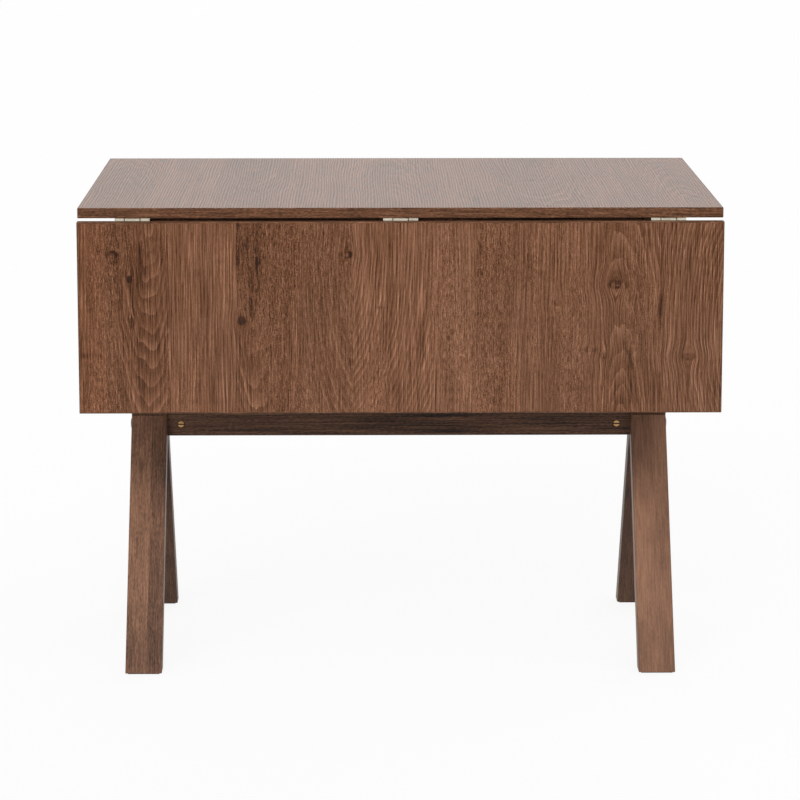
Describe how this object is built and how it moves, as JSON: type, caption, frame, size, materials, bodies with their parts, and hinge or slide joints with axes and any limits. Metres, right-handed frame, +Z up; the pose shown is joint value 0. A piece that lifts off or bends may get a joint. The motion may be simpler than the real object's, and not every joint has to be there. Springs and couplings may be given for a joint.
{
  "type": "drop-leaf dining table",
  "caption": "Dining table with a fixed top on two crossed-leg trestles joined by a stretcher, and a hinged drop leaf on its front edge that slotted stays hold up.",
  "frame": {"origin": "on the floor, under the middle of the table's outline with the leaf hanging", "axes": "+X along the joint to the right as seen from the leaf's side, +Y away from the leaf, +Z up"},
  "size_m": [1, 0.7196, 0.75],
  "materials": {
    "veneered_board": "satin lacquered veneer",
    "edge_band": "satin lacquered veneer",
    "leg_wood": "satin stain",
    "rail_wood": "satin stain",
    "hinge_brass": "satin brass plate",
    "nut_brass": "satin brass plate",
    "stay_steel": "zinc plate",
    "fastener_steel": "zinc plate",
    "felt": "felt"
  },
  "bodies": {
    "base": {"top_panel": "veneered_board", "top_front_band": "edge_band", "top_rear_band": "edge_band", "top_left_band": "edge_band", "top_right_band": "edge_band", "left_hinge_top_plate": "hinge_brass", "left_hinge_pin": "hinge_brass", "middle_hinge_top_plate": "hinge_brass", "middle_hinge_pin": "hinge_brass", "right_hinge_top_plate": "hinge_brass", "right_hinge_pin": "hinge_brass", "hinge_top_screws": "hinge_brass", "left_front_leg": "leg_wood", "left_front_pad": "felt", "left_rear_leg": "leg_wood", "left_rear_pad": "felt", "left_bearer": "rail_wood", "left_stay_stud": "stay_steel", "right_front_leg": "leg_wood", "right_front_pad": "felt", "right_rear_leg": "leg_wood", "right_rear_pad": "felt", "right_bearer": "rail_wood", "right_stay_stud": "stay_steel", "stretcher": "rail_wood", "front_rail": "rail_wood", "rear_rail": "rail_wood", "stretcher_barrel_nuts": "nut_brass", "rail_barrel_nuts": "nut_brass", "stretcher_bolts": "fastener_steel", "rail_bolts": "fastener_steel", "bearer_screws": "fastener_steel", "rail_screws": "fastener_steel", "leg_screws": "fastener_steel", "stay_washers": "fastener_steel"},
    "leaf": {"leaf_panel": "veneered_board", "leaf_joint_band": "edge_band", "leaf_free_band": "edge_band", "leaf_left_band": "edge_band", "leaf_right_band": "edge_band", "left_hinge_leaf_plate": "hinge_brass", "middle_hinge_leaf_plate": "hinge_brass", "right_hinge_leaf_plate": "hinge_brass", "hinge_leaf_screws": "hinge_brass", "stay_bracket_screws": "fastener_steel", "left_stay_bracket": "stay_steel", "left_stay_rivet": "stay_steel", "right_stay_bracket": "stay_steel", "right_stay_rivet": "stay_steel"},
    "left_stay": {"left_stay_arm": "stay_steel"},
    "right_stay": {"right_stay_arm": "stay_steel"}
  },
  "joints": [
    {"name": "leaf_hinge", "type": "hinge", "parent": "base", "child": "leaf", "pos_m": [0, -0.34055, 0.7308], "axis": [-1, 0, 0], "range_deg": [0, 90]},
    {"name": "left_stay_pivot", "type": "hinge", "parent": "leaf", "child": "left_stay", "pos_m": [-0.377, -0.33175, 0.60455], "axis": [-1, 0, 0], "range_deg": [-45, 0]},
    {"name": "right_stay_pivot", "type": "hinge", "parent": "leaf", "child": "right_stay", "pos_m": [0.377, -0.33175, 0.60455], "axis": [-1, 0, 0], "range_deg": [-45, 0]}
  ],
  "couplings": [
    {"joint": "left_stay_pivot", "follows": "leaf_hinge", "ratio": -0.5},
    {"joint": "right_stay_pivot", "follows": "leaf_hinge", "ratio": -0.5}
  ]
}
